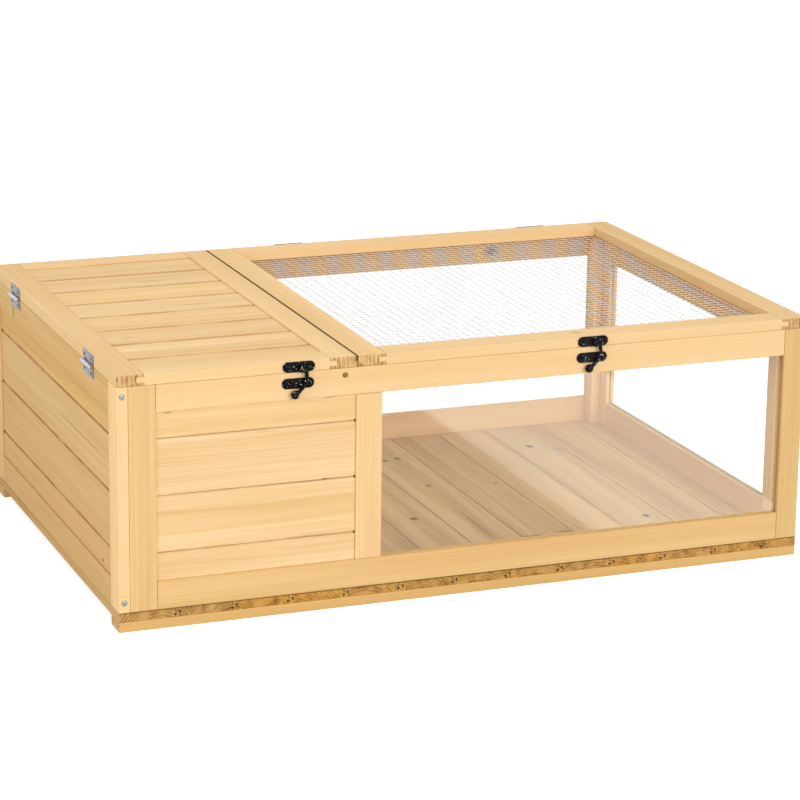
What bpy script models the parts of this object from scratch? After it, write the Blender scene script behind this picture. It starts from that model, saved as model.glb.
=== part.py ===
"""A wooden reptile cage: a closed sleeping room and a windowed run, under two hinged lids.

Lengths are in metres and +Z is up. The pieces are laid out from the front left bottom corner of
the base: X runs along the front, Y to the back. The root empty then moves the whole cage, so that
the middle of its footprint stands on the world origin.
"""

import math

import bmesh
import bpy
from mathutils import Matrix, Vector

# Clearances
gap = 0.0003
overrun = 0.002
weld = 0.00001

# Whole cage
overall_width = 0.908
overall_depth = 0.603
wall_height = 0.279

# Base
batten_height = 0.0125
batten_width = 0.034
floor_thickness = 0.0114
floor_seams = 12
floor_first_board = 0.070
floor_last_board = 0.0493

# Wall members
wall_thickness = 0.014
stile_width = 0.0345
front_left_stile_width = 0.0337
front_right_stile_width = 0.029
right_wall_setback = 0.004
right_wall_front_stile_width = 0.0477
right_wall_back_stile_width = 0.0417
top_rail_width = 0.034
back_top_rail_width = 0.031
front_sill_width = 0.0355
far_sill_width = 0.035
middle_stile_width = 0.0335
middle_stile_setback = 0.0005
corner_post_width = 0.0137
corner_post_depth = 0.0207

# Divider with the doorway at the front
divider_setback = 0.0145
doorway_width = 0.156
divider_post_width = 0.034

# Joints of the members
member_tongue = 0.0064
member_tongue_length = 0.0095
member_groove = 0.007
member_groove_depth = 0.010
pane_groove = 0.0036
pane_groove_depth = 0.008
pane_thickness = 0.003
pane_inset = 0.0075

# Boards
board_thickness = 0.010
board_pitch = 0.0707
board_seam = 0.0006
edge_tongue = 0.0034
edge_tongue_length = 0.005
edge_groove = 0.0042
edge_groove_depth = 0.0065
edge_slot_depth = 0.0025

# Lids
lid_thickness = 0.0137
lid_member_width = 0.034
left_lid_width = 0.300
left_lid_meeting_stile_width = 0.0345
lid_first_seam = 0.074
lid_parting = 0.001
mesh_lid_meeting_stile_width = 0.036
mesh_lid_right_stile_width = 0.0335

# Wire mesh under the right lid
mesh_gaps = 12
mesh_bar = 0.0016
mesh_thickness = 0.001
mesh_rebate = 0.009
mesh_rebate_depth = 0.0015

# Hinges
hinge_length = 0.043
leaf_height = 0.0145
leaf_thickness = 0.0012
knuckle_radius = 0.0026
knuckle_length = 0.015
pin_radius = 0.0011
leaf_screw_drop = 0.0088
leaf_screw_offset = 0.015
left_hinge_insets = (0.118, 0.128)
back_hinge_insets = (0.120, 0.120)

# Small screws of the hinges and latches
screw_head_radius = 0.0026
screw_head_height = 0.001
screw_head_sink = 0.0003
screw_shank_radius = 0.0013
screw_length = 0.009
round_steps = 8

# Long screws of the walls
frame_screw_head_radius = 0.0036
frame_screw_head_depth = 0.0025
frame_screw_shank_radius = 0.0019
frame_screw_length = 0.040
frame_screw_inset = 0.012
divider_screw_drop = 0.009

# Latches
left_latch_inset = 0.072
right_latch_shift = 0.0085
pivot_height = 0.0042
latch_plate_length = 0.041
latch_plate_width = 0.013
latch_plate_thickness = 0.0012
plate_screw_offset = 0.015
lid_plate_shift = 0.0025
lid_plate_rise = 0.0023
catch_plate_shift = 0.0035
catch_plate_drop = 0.018
stud_shift = 0.001
stud_drop = 0.019
stud_radius = 0.0022
arm_radius = 0.0020
arm_reach = 0.008
arm_drop = 0.033
arm_path_shares = ((0, 0), (0.7, -0.05), (1, -0.2), (1, -0.6), (0.7, -0.75), (-0.75, -1))
arm_eye_radius = 0.0042
knob_radius = 0.005
knob_half_depth = 0.0042
rivet_radius = 0.0015
rivet_head_radius = 0.0032
rivet_head_height = 0.0008

# Heights of the stack and places of the openings, from the sizes above
floor_foot = batten_height + gap
wall_foot = floor_foot + floor_thickness + gap
wall_top = wall_foot + wall_height
lid_foot = wall_top + gap
front_sill = wall_foot + front_sill_width
far_sill = wall_foot + far_sill_width
opening_top = wall_top - top_rail_width
back_opening_top = wall_top - back_top_rail_width
inner_left = wall_thickness + gap
inner_front = wall_thickness + gap
inner_back = overall_depth - wall_thickness - gap
right_wall_face = overall_width - right_wall_setback - wall_thickness
inner_right = right_wall_face - gap
front_bay_left = inner_left + front_left_stile_width
middle_stile_left = left_lid_width - middle_stile_setback
middle_stile_right = middle_stile_left + middle_stile_width
window_right = overall_width - front_right_stile_width
divider_middle = middle_stile_left - divider_setback
mesh_lid_left = left_lid_width + lid_parting
mesh_lid_middle = (mesh_lid_left + overall_width) / 2
left_hinge_centres = (left_hinge_insets[0], overall_depth - left_hinge_insets[1])
back_hinge_centres = (mesh_lid_left + back_hinge_insets[0], overall_width - back_hinge_insets[1])
latch_pivots = (left_lid_width - left_latch_inset, mesh_lid_middle + right_latch_shift)
hinge_height = (wall_top + lid_foot) / 2
hinge_axis_out = gap + knuckle_radius
hinge_reach = hinge_axis_out + knuckle_radius
screw_seat = gap + latch_plate_thickness
arm_middle_out = screw_seat + screw_head_height - screw_head_sink + gap + arm_radius
latch_reach = arm_middle_out + knob_half_depth

ACROSS, ALONG = 0, 1
ENDS = {"left": (ACROSS, 0), "right": (ACROSS, 1), "foot": (ALONG, 0), "head": (ALONG, 1)}
LEFT_SIDE = Vector((-1, 0, 0))
FRONT_SIDE = Vector((0, -1, 0))
BACK_SIDE = Vector((0, 1, 0))
RIGHT = Vector((1, 0, 0))
UP = Vector((0, 0, 1))


def clear_scene():
    for obj in list(bpy.data.objects):
        bpy.data.objects.remove(obj, do_unlink=True)


def new_collection(name):
    collection = bpy.data.collections.new(name)
    bpy.context.scene.collection.children.link(collection)
    return collection


def principled(name, colour, roughness, metallic=0, transmission=0):
    material = bpy.data.materials.new(name)
    material.use_nodes = True
    shader = material.node_tree.nodes["Principled BSDF"]
    shader.inputs["Base Color"].default_value = (*colour, 1)
    shader.inputs["Roughness"].default_value = roughness
    shader.inputs["Metallic"].default_value = metallic
    shader.inputs["Transmission Weight"].default_value = transmission
    return material


clear_scene()
cage = new_collection("reptile_cage")
cutters = new_collection("cutters")

fir = principled("fir", (0.83, 0.57, 0.29), 0.55)
acrylic = principled("acrylic", (0.95, 0.97, 0.97), 0.05, transmission=1)
zinc = principled("zinc", (0.62, 0.63, 0.64), 0.35, metallic=1)
brass = principled("brass", (0.62, 0.50, 0.22), 0.35, metallic=1)
black_metal = principled("black_metal", (0.012, 0.012, 0.013), 0.25, metallic=1)
galvanised_wire = principled("galvanised_wire", (0.78, 0.79, 0.80), 0.4, metallic=1)


class Carrier:
    """An empty that carries pieces, with its place in the cage's own coordinates."""

    def __init__(self, name, origin, parent=None):
        self.origin = Vector(origin)
        self.empty = bpy.data.objects.new(name, None)
        cage.objects.link(self.empty)
        self.empty.location = self.origin
        if parent:
            self.empty.parent = parent.empty
            self.empty.location = self.origin - parent.origin


root = Carrier("cage_root", (0, 0, 0))
centre_x = (overall_width - hinge_reach) / 2
centre_y = (overall_depth + hinge_reach - latch_reach) / 2
root.empty.location = (-centre_x, -centre_y, 0)
left_lid = Carrier("left_lid_axis", (-hinge_axis_out, overall_depth / 2, hinge_height), root)
mesh_lid = Carrier("mesh_lid_axis", (mesh_lid_middle, overall_depth + hinge_axis_out, hinge_height), root)
latch_height = lid_foot + pivot_height
left_latch = Carrier("left_latch_axis", (latch_pivots[0], -arm_middle_out, latch_height), left_lid)
right_latch = Carrier("right_latch_axis", (latch_pivots[1], -arm_middle_out, latch_height), mesh_lid)


def add_piece(name, mesh, place, material, carrier, smooth=False):
    """A node at its place in cage coordinates, or a cutter where it has no material."""
    piece = bpy.data.objects.new(name, mesh)
    piece.parent = carrier.empty
    piece.matrix_local = Matrix.Translation(-carrier.origin) @ place
    if material:
        cage.objects.link(piece)
        mesh.materials.clear()
        mesh.materials.append(material)
    else:
        cutters.objects.link(piece)
        piece.hide_render = True
        piece.display_type = "WIRE"
    if smooth:
        mesh.shade_smooth()
        mesh.set_sharp_from_angle(angle=math.radians(40))
    return piece


def box_mesh(name, spans, origin):
    shape = bmesh.new()
    for low, high in spans:
        place = Matrix.Translation((low + high) / 2 - origin)
        bmesh.ops.create_cube(shape, size=1, matrix=place @ Matrix.Diagonal((*(high - low), 1)))
    mesh = bpy.data.meshes.new(name)
    shape.to_mesh(mesh)
    shape.free()
    return mesh


def blocks(name, spans, material, carrier):
    """Plain boxes in one object, whose origin is the middle of the first."""
    origin = (spans[0][0] + spans[0][1]) / 2
    place = Matrix.Translation(origin)
    return add_piece(name, box_mesh(name, spans, origin), place, material, carrier)


def subtract(piece, tool):
    modifier = piece.modifiers.new(tool.name, "BOOLEAN")
    modifier.operation = "DIFFERENCE"
    modifier.solver = "EXACT"
    modifier.object = tool


def cut(piece, label, spans, carrier):
    subtract(piece, blocks(f"{piece.name}_{label}", spans, None, carrier))


def loose_object(name, data):
    """An object used only to make a mesh from."""
    maker = bpy.data.objects.new(name, data)
    cutters.objects.link(maker)
    return maker


def take_mesh(maker, *tools):
    """The maker's evaluated mesh, welded and facing out. The maker and its tools are removed."""
    bpy.context.view_layer.update()
    graph = bpy.context.evaluated_depsgraph_get()
    mesh = bpy.data.meshes.new_from_object(maker.evaluated_get(graph))
    mesh.transform(maker.matrix_world)
    shape = bmesh.new()
    shape.from_mesh(mesh)
    bmesh.ops.remove_doubles(shape, verts=shape.verts, dist=weld)
    bmesh.ops.recalc_face_normals(shape, faces=shape.faces)
    shape.to_mesh(mesh)
    shape.free()
    for obj in (maker, *tools):
        bpy.data.objects.remove(obj, do_unlink=True)
    return mesh


def extruded_mesh(name, outlines, length, side, face):
    """Flat outlines in the side and face directions, run the same way to both sides of them."""
    outline_curve = bpy.data.curves.new(name, "CURVE")
    outline_curve.dimensions = "2D"
    outline_curve.fill_mode = "BOTH"
    outline_curve.extrude = length / 2
    for outline in outlines:
        spline = outline_curve.splines.new("POLY")
        spline.points.add(len(outline) - 1)
        for point, (x, y) in zip(spline.points, outline):
            point.co = (x, y, 0, 1)
        spline.use_cyclic_u = True
    maker = loose_object(name, outline_curve)
    maker.matrix_world = Matrix((side, face, side.cross(face))).transposed().to_4x4()
    return take_mesh(maker)


def turned_mesh(name, profile, steps):
    """A profile of radius and height, from the top down, turned about Z."""
    mesh = bpy.data.meshes.new(name)
    edges = [(i, i + 1) for i in range(len(profile) - 1)]
    mesh.from_pydata([(radius, 0, height) for radius, height in profile], edges, [])
    maker = loose_object(name, mesh)
    turn = maker.modifiers.new("turn", "SCREW")
    turn.steps = steps
    turn.render_steps = steps
    turn.use_merge_vertices = True
    turn.merge_threshold = weld
    return take_mesh(maker)


def tool_copies(name, mesh, places, carrier):
    """A cutter that holds one copy of a mesh at each place."""
    origin = Matrix.Translation(places[0].to_translation())
    shape = bmesh.new()
    for place in places:
        copy = mesh.copy()
        copy.transform(origin.inverted() @ place)
        shape.from_mesh(copy)
        bpy.data.meshes.remove(copy)
    joined = bpy.data.meshes.new(name)
    shape.to_mesh(joined)
    shape.free()
    return add_piece(name, joined, origin, None, carrier)


def facing(point, out):
    """A place whose Z axis points out of a face."""
    return Matrix.Translation(point) @ out.to_track_quat("Z", "Y").to_matrix().to_4x4()


def arc(centre, radius, start, end, steps):
    """Points of an arc, with both ends, from angles in degrees."""
    angles = [math.radians(start + (end - start) * i / steps) for i in range(steps + 1)]
    return [(centre[0] + radius * math.cos(a), centre[1] + radius * math.sin(a)) for a in angles]


class Panel:
    """A flat frame: its members run across it or along it, and it has a thickness."""

    def __init__(self, axes, low, thickness):
        self.axes = axes
        self.faces = (low, low + thickness)
        self.middle = low + thickness / 2

    def span(self, across, along, through):
        low = Vector((0, 0, 0))
        high = Vector((0, 0, 0))
        for axis, ends in zip(self.axes, (across, along, through)):
            low[axis] = ends[0]
            high[axis] = ends[1]
        return low, high

    def strip(self, axis, stretch, other, through):
        """A box with one stretch along the named axis of the panel and one along the other."""
        if axis == ACROSS:
            return self.span(stretch, other, through)
        return self.span(other, stretch, through)


def widened(stretch, amount):
    return (stretch[0] - amount, stretch[1] + amount)


def with_tongues(sizes, ends):
    """The sizes of a piece once its tongues are added past the edge that each one enters."""
    sizes = [list(size) for size in sizes]
    for end in ends:
        axis, side = ENDS[end]
        sizes[axis][side] += (-1, 1)[side] * (member_tongue_length - gap)
    return sizes


def cut_shoulders(piece, panel, sizes, ends, carrier):
    """Takes both faces off at each end, so that a tongue is left. Each axis has its own cutter."""
    cheeks = (
        (panel.faces[0] - overrun, panel.middle - member_tongue / 2),
        (panel.middle + member_tongue / 2, panel.faces[1] + overrun),
    )
    for axis, label in ((ACROSS, "end_shoulders"), (ALONG, "edge_shoulders")):
        spans = []
        for end in ends:
            if ENDS[end][0] != axis:
                continue
            side = ENDS[end][1]
            outer = sizes[axis][side] + (-1, 1)[side] * overrun
            inner = sizes[axis][side] - (-1, 1)[side] * member_tongue_length
            stretch = (min(outer, inner), max(outer, inner))
            other = widened(sizes[1 - axis], overrun)
            spans += [panel.strip(axis, stretch, other, cheek) for cheek in cheeks]
        if spans:
            cut(piece, label, spans, carrier)


def groove_spans(panel, sizes, edges, width, depth):
    """Groove boxes. Each edge is a name, or a name with the run of its groove."""
    spans = []
    for edge in edges:
        name, run = edge if isinstance(edge, tuple) else (edge, None)
        axis, side = ENDS[name]
        run = run or widened(sizes[1 - axis], overrun)
        outer = sizes[axis][side] + (-1, 1)[side] * overrun
        inner = sizes[axis][side] - (-1, 1)[side] * depth
        stretch = (min(outer, inner), max(outer, inner))
        spans.append(panel.strip(axis, stretch, run, (panel.middle - width / 2, panel.middle + width / 2)))
    return spans


def member(panel, name, across, along, carrier, tongues=(), grooves=(), pane_grooves=()):
    """A bar of a frame, with tongues on the named ends and grooves in the named edges."""
    sizes = with_tongues((across, along), tongues)
    piece = blocks(name, [panel.span(*sizes, panel.faces)], fir, carrier)
    if grooves:
        wide = groove_spans(panel, sizes, grooves, member_groove, member_groove_depth)
        cut(piece, "grooves", wide, carrier)
    if pane_grooves:
        narrow = groove_spans(panel, sizes, pane_grooves, pane_groove, pane_groove_depth)
        cut(piece, "pane_grooves", narrow, carrier)
    cut_shoulders(piece, panel, sizes, tongues, carrier)
    return piece


def seam_places(first, pitch, stretch):
    """The seams from the first on, one pitch apart, that lie inside the stretch."""
    count = math.ceil((stretch[1] - first - board_seam) / pitch)
    return [first + pitch * i for i in range(count) if first + pitch * i > stretch[0] + board_seam]


def sheet_outline(ends, seams, faces):
    """The section of tongue-and-groove boards that are glued along the low side of each tongue.

    Each seam is a slot in both faces, and past the tongue's tip the groove stays hollow.
    """
    low_side = (faces[0] + faces[1] - edge_groove) / 2
    high_side = low_side + edge_groove
    slot_end = faces[0] + edge_slot_depth
    outline = [(ends[0], faces[0])]
    for seam in seams:
        before, after = seam - board_seam / 2, seam + board_seam / 2
        outline += [(before, faces[0]), (before, slot_end), (after, slot_end), (after, faces[0])]
    outline += [(ends[1], faces[0]), (ends[1], faces[1])]
    for seam in reversed(seams):
        before, after = seam - board_seam / 2, seam + board_seam / 2
        bottom, tip = after + edge_groove_depth, before + edge_tongue_length
        outline += [(after, faces[1]), (after, high_side), (bottom, high_side), (bottom, low_side)]
        outline += [(tip, low_side), (tip, low_side + edge_tongue)]
        outline += [(before, low_side + edge_tongue), (before, faces[1])]
    outline.append((ends[0], faces[1]))
    return outline


def board_sheet(panel, name, run, stack, seams, thickness, carrier):
    """Tongue-and-groove boards that run across the panel and are stacked along it."""
    outline = sheet_outline(stack, seams, (-thickness / 2, thickness / 2))
    local = [(x - stack[0], y) for x, y in outline]
    side = Vector([axis == panel.axes[ALONG] for axis in range(3)])
    face = Vector([axis == panel.axes[2] for axis in range(3)])
    mesh = extruded_mesh(name, [local], run[1] - run[0], side, face)
    middle = (run[0] + run[1]) / 2
    origin = panel.span((middle, middle), (stack[0], stack[0]), (panel.middle, panel.middle))[0]
    return add_piece(name, mesh, Matrix.Translation(origin), fir, carrier)


def framed_boards(panel, name, across, along, seams, carrier):
    """Boards that fill an opening, rebated all round so that they enter its grooves."""
    sizes = with_tongues((across, along), ENDS)
    piece = board_sheet(panel, name, sizes[ACROSS], sizes[ALONG], seams, board_thickness, carrier)
    cut_shoulders(piece, panel, sizes, ENDS, carrier)


def pane(panel, name, across, along):
    """A clear sheet whose edges enter the grooves round a window."""
    through = (panel.middle - pane_thickness / 2, panel.middle + pane_thickness / 2)
    span = panel.span(widened(across, pane_inset), widened(along, pane_inset), through)
    blocks(name, [span], acrylic, root)


def rail_slots(name, sill, head):
    """The parts of a stile's edge that take a rail's tongue: below the sill and above the head."""
    return [(name, (wall_foot - overrun, sill + gap)), (name, (head - gap, wall_top + overrun))]


def make_base():
    width = (0, overall_width)
    level = Panel((0, 1, 2), 0, batten_height)
    for label, front in (("front", 0), ("back", overall_depth - batten_width)):
        span = level.span(width, (front, front + batten_width), level.faces)
        blocks(f"base_{label}_batten", [span], fir, root)
    deck = Panel((1, 0, 2), floor_foot, floor_thickness)
    pitch = (overall_width - floor_first_board - floor_last_board) / (floor_seams - 1)
    seams = [floor_first_board + pitch * i for i in range(floor_seams)]
    board_sheet(deck, "floor_boards", (0, overall_depth), width, seams, floor_thickness, root)


def make_left_wall():
    wall = Panel((1, 2, 0), 0, wall_thickness)
    height = (wall_foot, wall_top)
    bay = (stile_width, overall_depth - stile_width)
    opening = (front_sill, opening_top)
    member(wall, "left_wall_front_stile", (0, bay[0]), height, root, grooves=["right"])
    member(wall, "left_wall_back_stile", (bay[1], overall_depth), height, root, grooves=["left"])
    rail_ends = ("left", "right")
    member(wall, "left_wall_top_rail", bay, (opening_top, wall_top), root, rail_ends, ["foot"])
    member(wall, "left_wall_bottom_rail", bay, (wall_foot, front_sill), root, rail_ends, ["head"])
    seams = seam_places(wall_foot + board_pitch, board_pitch, opening)
    framed_boards(wall, "left_wall_boards", bay, opening, seams, root)


def make_long_wall(prefix, low, sill, head):
    """The front or the back wall: a boarded bay at the left and a window at the right."""
    wall = Panel((0, 2, 1), low, wall_thickness)
    height = (wall_foot, wall_top)
    whole_bay = (front_bay_left, window_right)
    board_bay = (front_bay_left, middle_stile_left)
    window = (middle_stile_right, window_right)
    opening = (sill, head)
    right_slots = rail_slots("left", sill, head)
    member(wall, f"{prefix}_left_stile", (inner_left, front_bay_left), height, root, grooves=["right"])
    right_stile = (window_right, overall_width)
    member(wall, f"{prefix}_right_stile", right_stile, height, root, (), right_slots, ["left"])
    board_run = (front_bay_left - member_tongue_length - overrun, middle_stile_right + gap)
    slot_run = (window_right - gap, window_right + member_tongue_length + overrun)
    rails = (("top", "foot", (head, wall_top)), ("bottom", "head", (wall_foot, sill)))
    for label, edge, along in rails:
        member(
            wall, f"{prefix}_{label}_rail", whole_bay, along, root, ("left", "right"),
            [(edge, board_run), (edge, slot_run)], [edge],
        )
    member(
        wall, f"{prefix}_middle_stile", (middle_stile_left, middle_stile_right), opening, root,
        ("foot", "head"), ["left"], ["right"],
    )
    seams = seam_places(wall_foot + board_pitch, board_pitch, opening)
    framed_boards(wall, f"{prefix}_boards", board_bay, opening, seams, root)
    pane(wall, f"{prefix}_pane", window, opening)


def make_right_wall():
    wall = Panel((1, 2, 0), right_wall_face, wall_thickness)
    height = (wall_foot, wall_top)
    window = (inner_front + right_wall_front_stile_width, inner_back - right_wall_back_stile_width)
    opening = (far_sill, opening_top)
    member(
        wall, "right_wall_front_stile", (inner_front, window[0]), height, root,
        grooves=rail_slots("right", *opening), pane_grooves=["right"],
    )
    member(
        wall, "right_wall_back_stile", (window[1], inner_back), height, root,
        grooves=rail_slots("left", *opening), pane_grooves=["left"],
    )
    ends = ("left", "right")
    member(wall, "right_wall_top_rail", window, (opening_top, wall_top), root, ends, pane_grooves=["foot"])
    member(wall, "right_wall_bottom_rail", window, (wall_foot, far_sill), root, ends, pane_grooves=["head"])
    pane(wall, "right_wall_pane", window, opening)


def make_divider():
    """A top rail from front to back, a post beside the doorway, and boards from it to the back."""
    wall = Panel((1, 2, 0), divider_middle - wall_thickness / 2, wall_thickness)
    post = (inner_front + doorway_width, inner_front + doorway_width + divider_post_width)
    groove = [("foot", (post[0] - gap, inner_back + overrun))]
    top = (opening_top, wall_top)
    member(wall, "divider_top_rail", (inner_front, inner_back), top, root, grooves=groove)
    member(wall, "divider_door_post", post, (wall_foot, opening_top), root, ["head"], ["right"])
    opening = (wall_foot, opening_top)
    bay = (post[1], inner_back)
    seams = seam_places(wall_foot + board_pitch, board_pitch, opening)
    entered = ("left", "head")
    sizes = with_tongues((bay, opening), entered)
    boards = board_sheet(wall, "divider_boards", *sizes, seams, board_thickness, root)
    cut_shoulders(boards, wall, sizes, entered, root)


def make_corner_posts():
    level = Panel((0, 1, 2), wall_foot, wall_height)
    across = (inner_right - corner_post_width, inner_right)
    for label, front in (("front", inner_front), ("back", inner_back - corner_post_depth)):
        span = level.span(across, (front, front + corner_post_depth), level.faces)
        blocks(f"{label}_right_corner_post", [span], fir, root)


lid_panel = Panel((0, 1, 2), lid_foot, lid_thickness)
lid_depth = (0, overall_depth)
lid_bay = (lid_member_width, overall_depth - lid_member_width)
mesh_bay = (mesh_lid_left + mesh_lid_meeting_stile_width, overall_width - mesh_lid_right_stile_width)


def make_left_lid():
    bay = (lid_member_width, left_lid_width - left_lid_meeting_stile_width)
    ends = ("left", "right")
    member(lid_panel, "left_lid_hinge_stile", (0, bay[0]), lid_depth, left_lid, grooves=["right"])
    meeting = (bay[1], left_lid_width)
    member(lid_panel, "left_lid_meeting_stile", meeting, lid_depth, left_lid, grooves=["left"])
    member(lid_panel, "left_lid_front_rail", bay, (0, lid_bay[0]), left_lid, ends, ["head"])
    member(lid_panel, "left_lid_back_rail", bay, (lid_bay[1], overall_depth), left_lid, ends, ["foot"])
    seams = seam_places(lid_first_seam, board_pitch, lid_bay)
    framed_boards(lid_panel, "left_lid_boards", bay, lid_bay, seams, left_lid)


def make_mesh_lid():
    slots = [(-overrun, lid_bay[0] + gap), (lid_bay[1] - gap, overall_depth + overrun)]
    ends = ("left", "right")
    rebate = lid_panel.span(
        widened(mesh_bay, mesh_rebate), widened(lid_bay, mesh_rebate),
        (lid_foot - overrun, lid_foot + mesh_rebate_depth),
    )
    rebate_tool = blocks("mesh_rebate", [rebate], None, mesh_lid)
    meeting = (mesh_lid_left, mesh_bay[0])
    right = (mesh_bay[1], overall_width)
    slots_right = [("right", slot) for slot in slots]
    slots_left = [("left", slot) for slot in slots]
    frame = [
        member(lid_panel, "mesh_lid_meeting_stile", meeting, lid_depth, mesh_lid, grooves=slots_right),
        member(lid_panel, "mesh_lid_right_stile", right, lid_depth, mesh_lid, grooves=slots_left),
        member(lid_panel, "mesh_lid_front_rail", mesh_bay, (0, lid_bay[0]), mesh_lid, ends),
        member(lid_panel, "mesh_lid_back_rail", mesh_bay, (lid_bay[1], overall_depth), mesh_lid, ends),
    ]
    for piece in frame:
        subtract(piece, rebate_tool)


def make_wire_mesh():
    """A net of flat bars: a grid whose gap faces are taken out, given a thickness."""
    cells = 2 * mesh_gaps + 1
    across = widened(mesh_bay, mesh_rebate - gap)
    along = widened(lid_bay, mesh_rebate - gap)
    shape = bmesh.new()
    bmesh.ops.create_grid(shape, x_segments=cells, y_segments=cells, size=1)
    half = Vector((across[1] - across[0], along[1] - along[0])) / 2
    pitch = [(2 * size - mesh_bar) / mesh_gaps for size in half]
    gaps = []
    for face in shape.faces:
        middle = face.calc_center_median()
        column, row = [math.floor((middle[i] + 1) / 2 * cells) for i in range(2)]
        if column % 2 and row % 2:
            gaps.append(face)
    bmesh.ops.delete(shape, geom=gaps, context="FACES_ONLY")
    for vert in shape.verts:
        for i in range(2):
            line = round((vert.co[i] + 1) / 2 * cells)
            vert.co[i] = line // 2 * pitch[i] + line % 2 * mesh_bar - half[i]
    mesh = bpy.data.meshes.new("wire_mesh")
    shape.to_mesh(mesh)
    shape.free()
    top = lid_foot + mesh_rebate_depth - gap
    origin = Vector(((across[0] + across[1]) / 2, (along[0] + along[1]) / 2, top))
    net = add_piece("wire_mesh", mesh, Matrix.Translation(origin), galvanised_wire, mesh_lid)
    thicken = net.modifiers.new("thickness", "SOLIDIFY")
    thicken.thickness = mesh_thickness
    thicken.offset = -1


screw_profile = [
    (0, screw_head_height), (screw_head_radius, screw_head_height), (screw_head_radius, 0),
    (screw_shank_radius, 0), (0, -screw_length),
]
# The hole's cone runs parallel to the shank, one gap away from it.
screw_hole_slope = screw_length / screw_shank_radius
screw_hole_profile = [
    (0, overrun), (screw_shank_radius + gap, overrun), (screw_shank_radius + gap, 0),
    (0, -screw_length - gap * screw_hole_slope),
]
frame_screw_profile = [
    (0, 0), (frame_screw_head_radius, 0), (frame_screw_shank_radius, -frame_screw_head_depth),
    (frame_screw_shank_radius, -frame_screw_length), (0, -frame_screw_length),
]
frame_hole_profile = [
    (0, overrun), (frame_screw_head_radius + gap, overrun), (frame_screw_head_radius + gap, -gap),
    (frame_screw_shank_radius + gap, -frame_screw_head_depth - gap),
    (frame_screw_shank_radius + gap, -frame_screw_length - gap), (0, -frame_screw_length - gap),
]


def bore(name, profile, places, carrier, pieces):
    """Screw holes at the places, in each of the named pieces."""
    holes = tool_copies(name, turned_mesh(name, profile, round_steps), places, carrier)
    for piece in pieces:
        subtract(bpy.data.objects[piece], holes)


def make_frame_screws():
    """The long screws that show: two in the left wall's front edge, one into the divider."""
    sunk = Matrix.Translation((0, 0, -gap))
    screw = turned_mesh("frame_screw", frame_screw_profile, round_steps)
    places = {
        "left_wall_upper_screw": (wall_thickness / 2, wall_top - frame_screw_inset),
        "left_wall_lower_screw": (wall_thickness / 2, wall_foot + frame_screw_inset),
        "divider_screw": (divider_middle, wall_top - divider_screw_drop),
    }
    pieces = {
        "left_wall_upper_screw": ("left_wall_front_stile", "left_wall_top_rail"),
        "left_wall_lower_screw": ("left_wall_front_stile", "left_wall_bottom_rail"),
        "divider_screw": ("front_wall_top_rail", "divider_top_rail"),
    }
    for name, (x, z) in places.items():
        place = facing(Vector((x, 0, z)), FRONT_SIDE)
        metal = brass if name == "divider_screw" else zinc
        add_piece(name, screw.copy(), place @ sunk, metal, root, smooth=True)
        bore(f"{name}_hole", frame_hole_profile, [place], root, pieces[name])


def join(maker, tool):
    modifier = maker.modifiers.new(tool.name, "BOOLEAN")
    modifier.operation = "UNION"
    modifier.solver = "EXACT"
    modifier.object = tool


def join_screws(maker, places):
    """Adds small screws to a fitting that is being made. Returns the screws' objects."""
    screws = []
    for place in places:
        screw = loose_object("screw", turned_mesh("screw", screw_profile, round_steps))
        screw.matrix_world = place
        join(maker, screw)
        screws.append(screw)
    return screws


def leaf_screw_places(out, upward):
    """Where a leaf's screws sit, about the hinge's middle."""
    seat = out * (leaf_thickness - screw_head_sink - knuckle_radius) + UP * upward * leaf_screw_drop
    return [facing(seat + out.cross(UP) * leaf_screw_offset * i, out) for i in (-1, 1)]


def leaf_mesh(name, out, upward):
    """One hinge leaf about the hinge's middle, with its share of the knuckles and its screws.

    The leaf on the wall holds two knuckles and the pin, the one on the lid the middle knuckle.
    """
    middle = (knuckle_radius, 0)
    meet = math.degrees(math.acos((knuckle_radius - leaf_thickness) / knuckle_radius))
    outline = [(0, -leaf_height), (leaf_thickness, -leaf_height)]
    outline += arc(middle, knuckle_radius, meet - 180, 0, 5)
    outline += arc(middle, knuckle_radius, 0, 180, 6)[1:]
    local = [(x - knuckle_radius, y * -upward) for x, y in outline]
    length = out.cross(UP)
    maker = loose_object(name, extruded_mesh(name, [local], hinge_length, out, UP))
    reach = knuckle_radius + gap
    inner = knuckle_length / 2
    outer = hinge_length / 2 + overrun
    if upward < 0:
        stretches = [(-inner - gap / 2, inner + gap / 2)]
    else:
        stretches = [(-outer, gap / 2 - inner), (inner - gap / 2, outer)]
    spans = []
    for low, high in stretches:
        corners = [length * low - (out + UP) * reach, length * high + (out + UP) * reach]
        low_corner = Vector([min(pair) for pair in zip(*corners)])
        high_corner = Vector([max(pair) for pair in zip(*corners)])
        spans.append((low_corner, high_corner))
    tools = [loose_object(f"{name}_notches", box_mesh(name, spans, Vector((0, 0, 0))))]
    subtract(maker, tools[0])
    if upward < 0:
        tip = hinge_length / 2 - gap
        tools.append(rod_maker(f"{name}_pin", pin_radius, length, (-tip, tip)))
        join(maker, tools[1])
    else:
        tools.append(rod_maker(f"{name}_bore", pin_radius + gap, length, (-outer, outer)))
        subtract(maker, tools[1])
    tools += join_screws(maker, leaf_screw_places(out, upward))
    return take_mesh(maker, *tools)


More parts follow.
